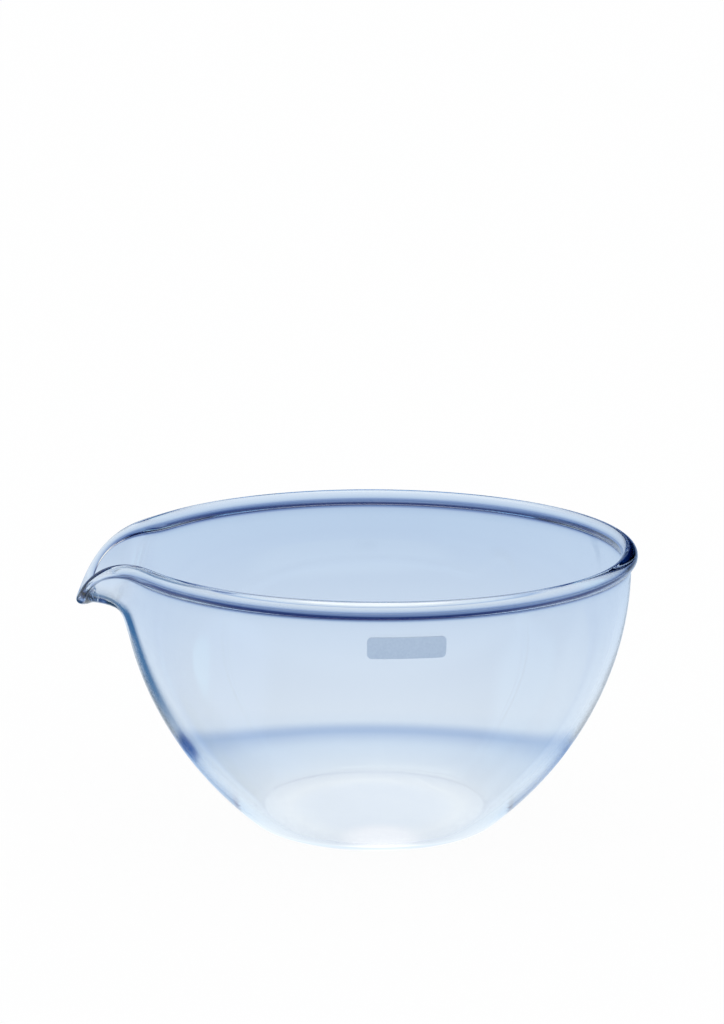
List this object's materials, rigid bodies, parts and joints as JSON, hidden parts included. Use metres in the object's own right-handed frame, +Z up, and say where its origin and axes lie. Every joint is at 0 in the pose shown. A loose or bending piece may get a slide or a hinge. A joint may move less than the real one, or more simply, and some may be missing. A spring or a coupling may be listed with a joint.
{
  "type": "glass dish with pouring spout",
  "caption": "Round-sided clear glass laboratory dish with a flat foot, a rolled bead round the rim and a pulled pouring spout, for evaporating and crystallizing liquids.",
  "frame": {"origin": "centre of the flat foot, on the surface that the dish stands on", "axes": "+Z up along the axis of the bowl, the spout along -X, the marking spot on the -Y side"},
  "size_m": [0.1499, 0.1398, 0.0765],
  "materials": {
    "borosilicate_glass": "clear, fire polished, faint blue in the thickness of the wall",
    "fired_enamel": "pale blue-grey vitreous enamel, satin"
  },
  "bodies": {
    "root": {"dish": "borosilicate_glass", "marking_spot": "fired_enamel"}
  },
  "joints": []
}
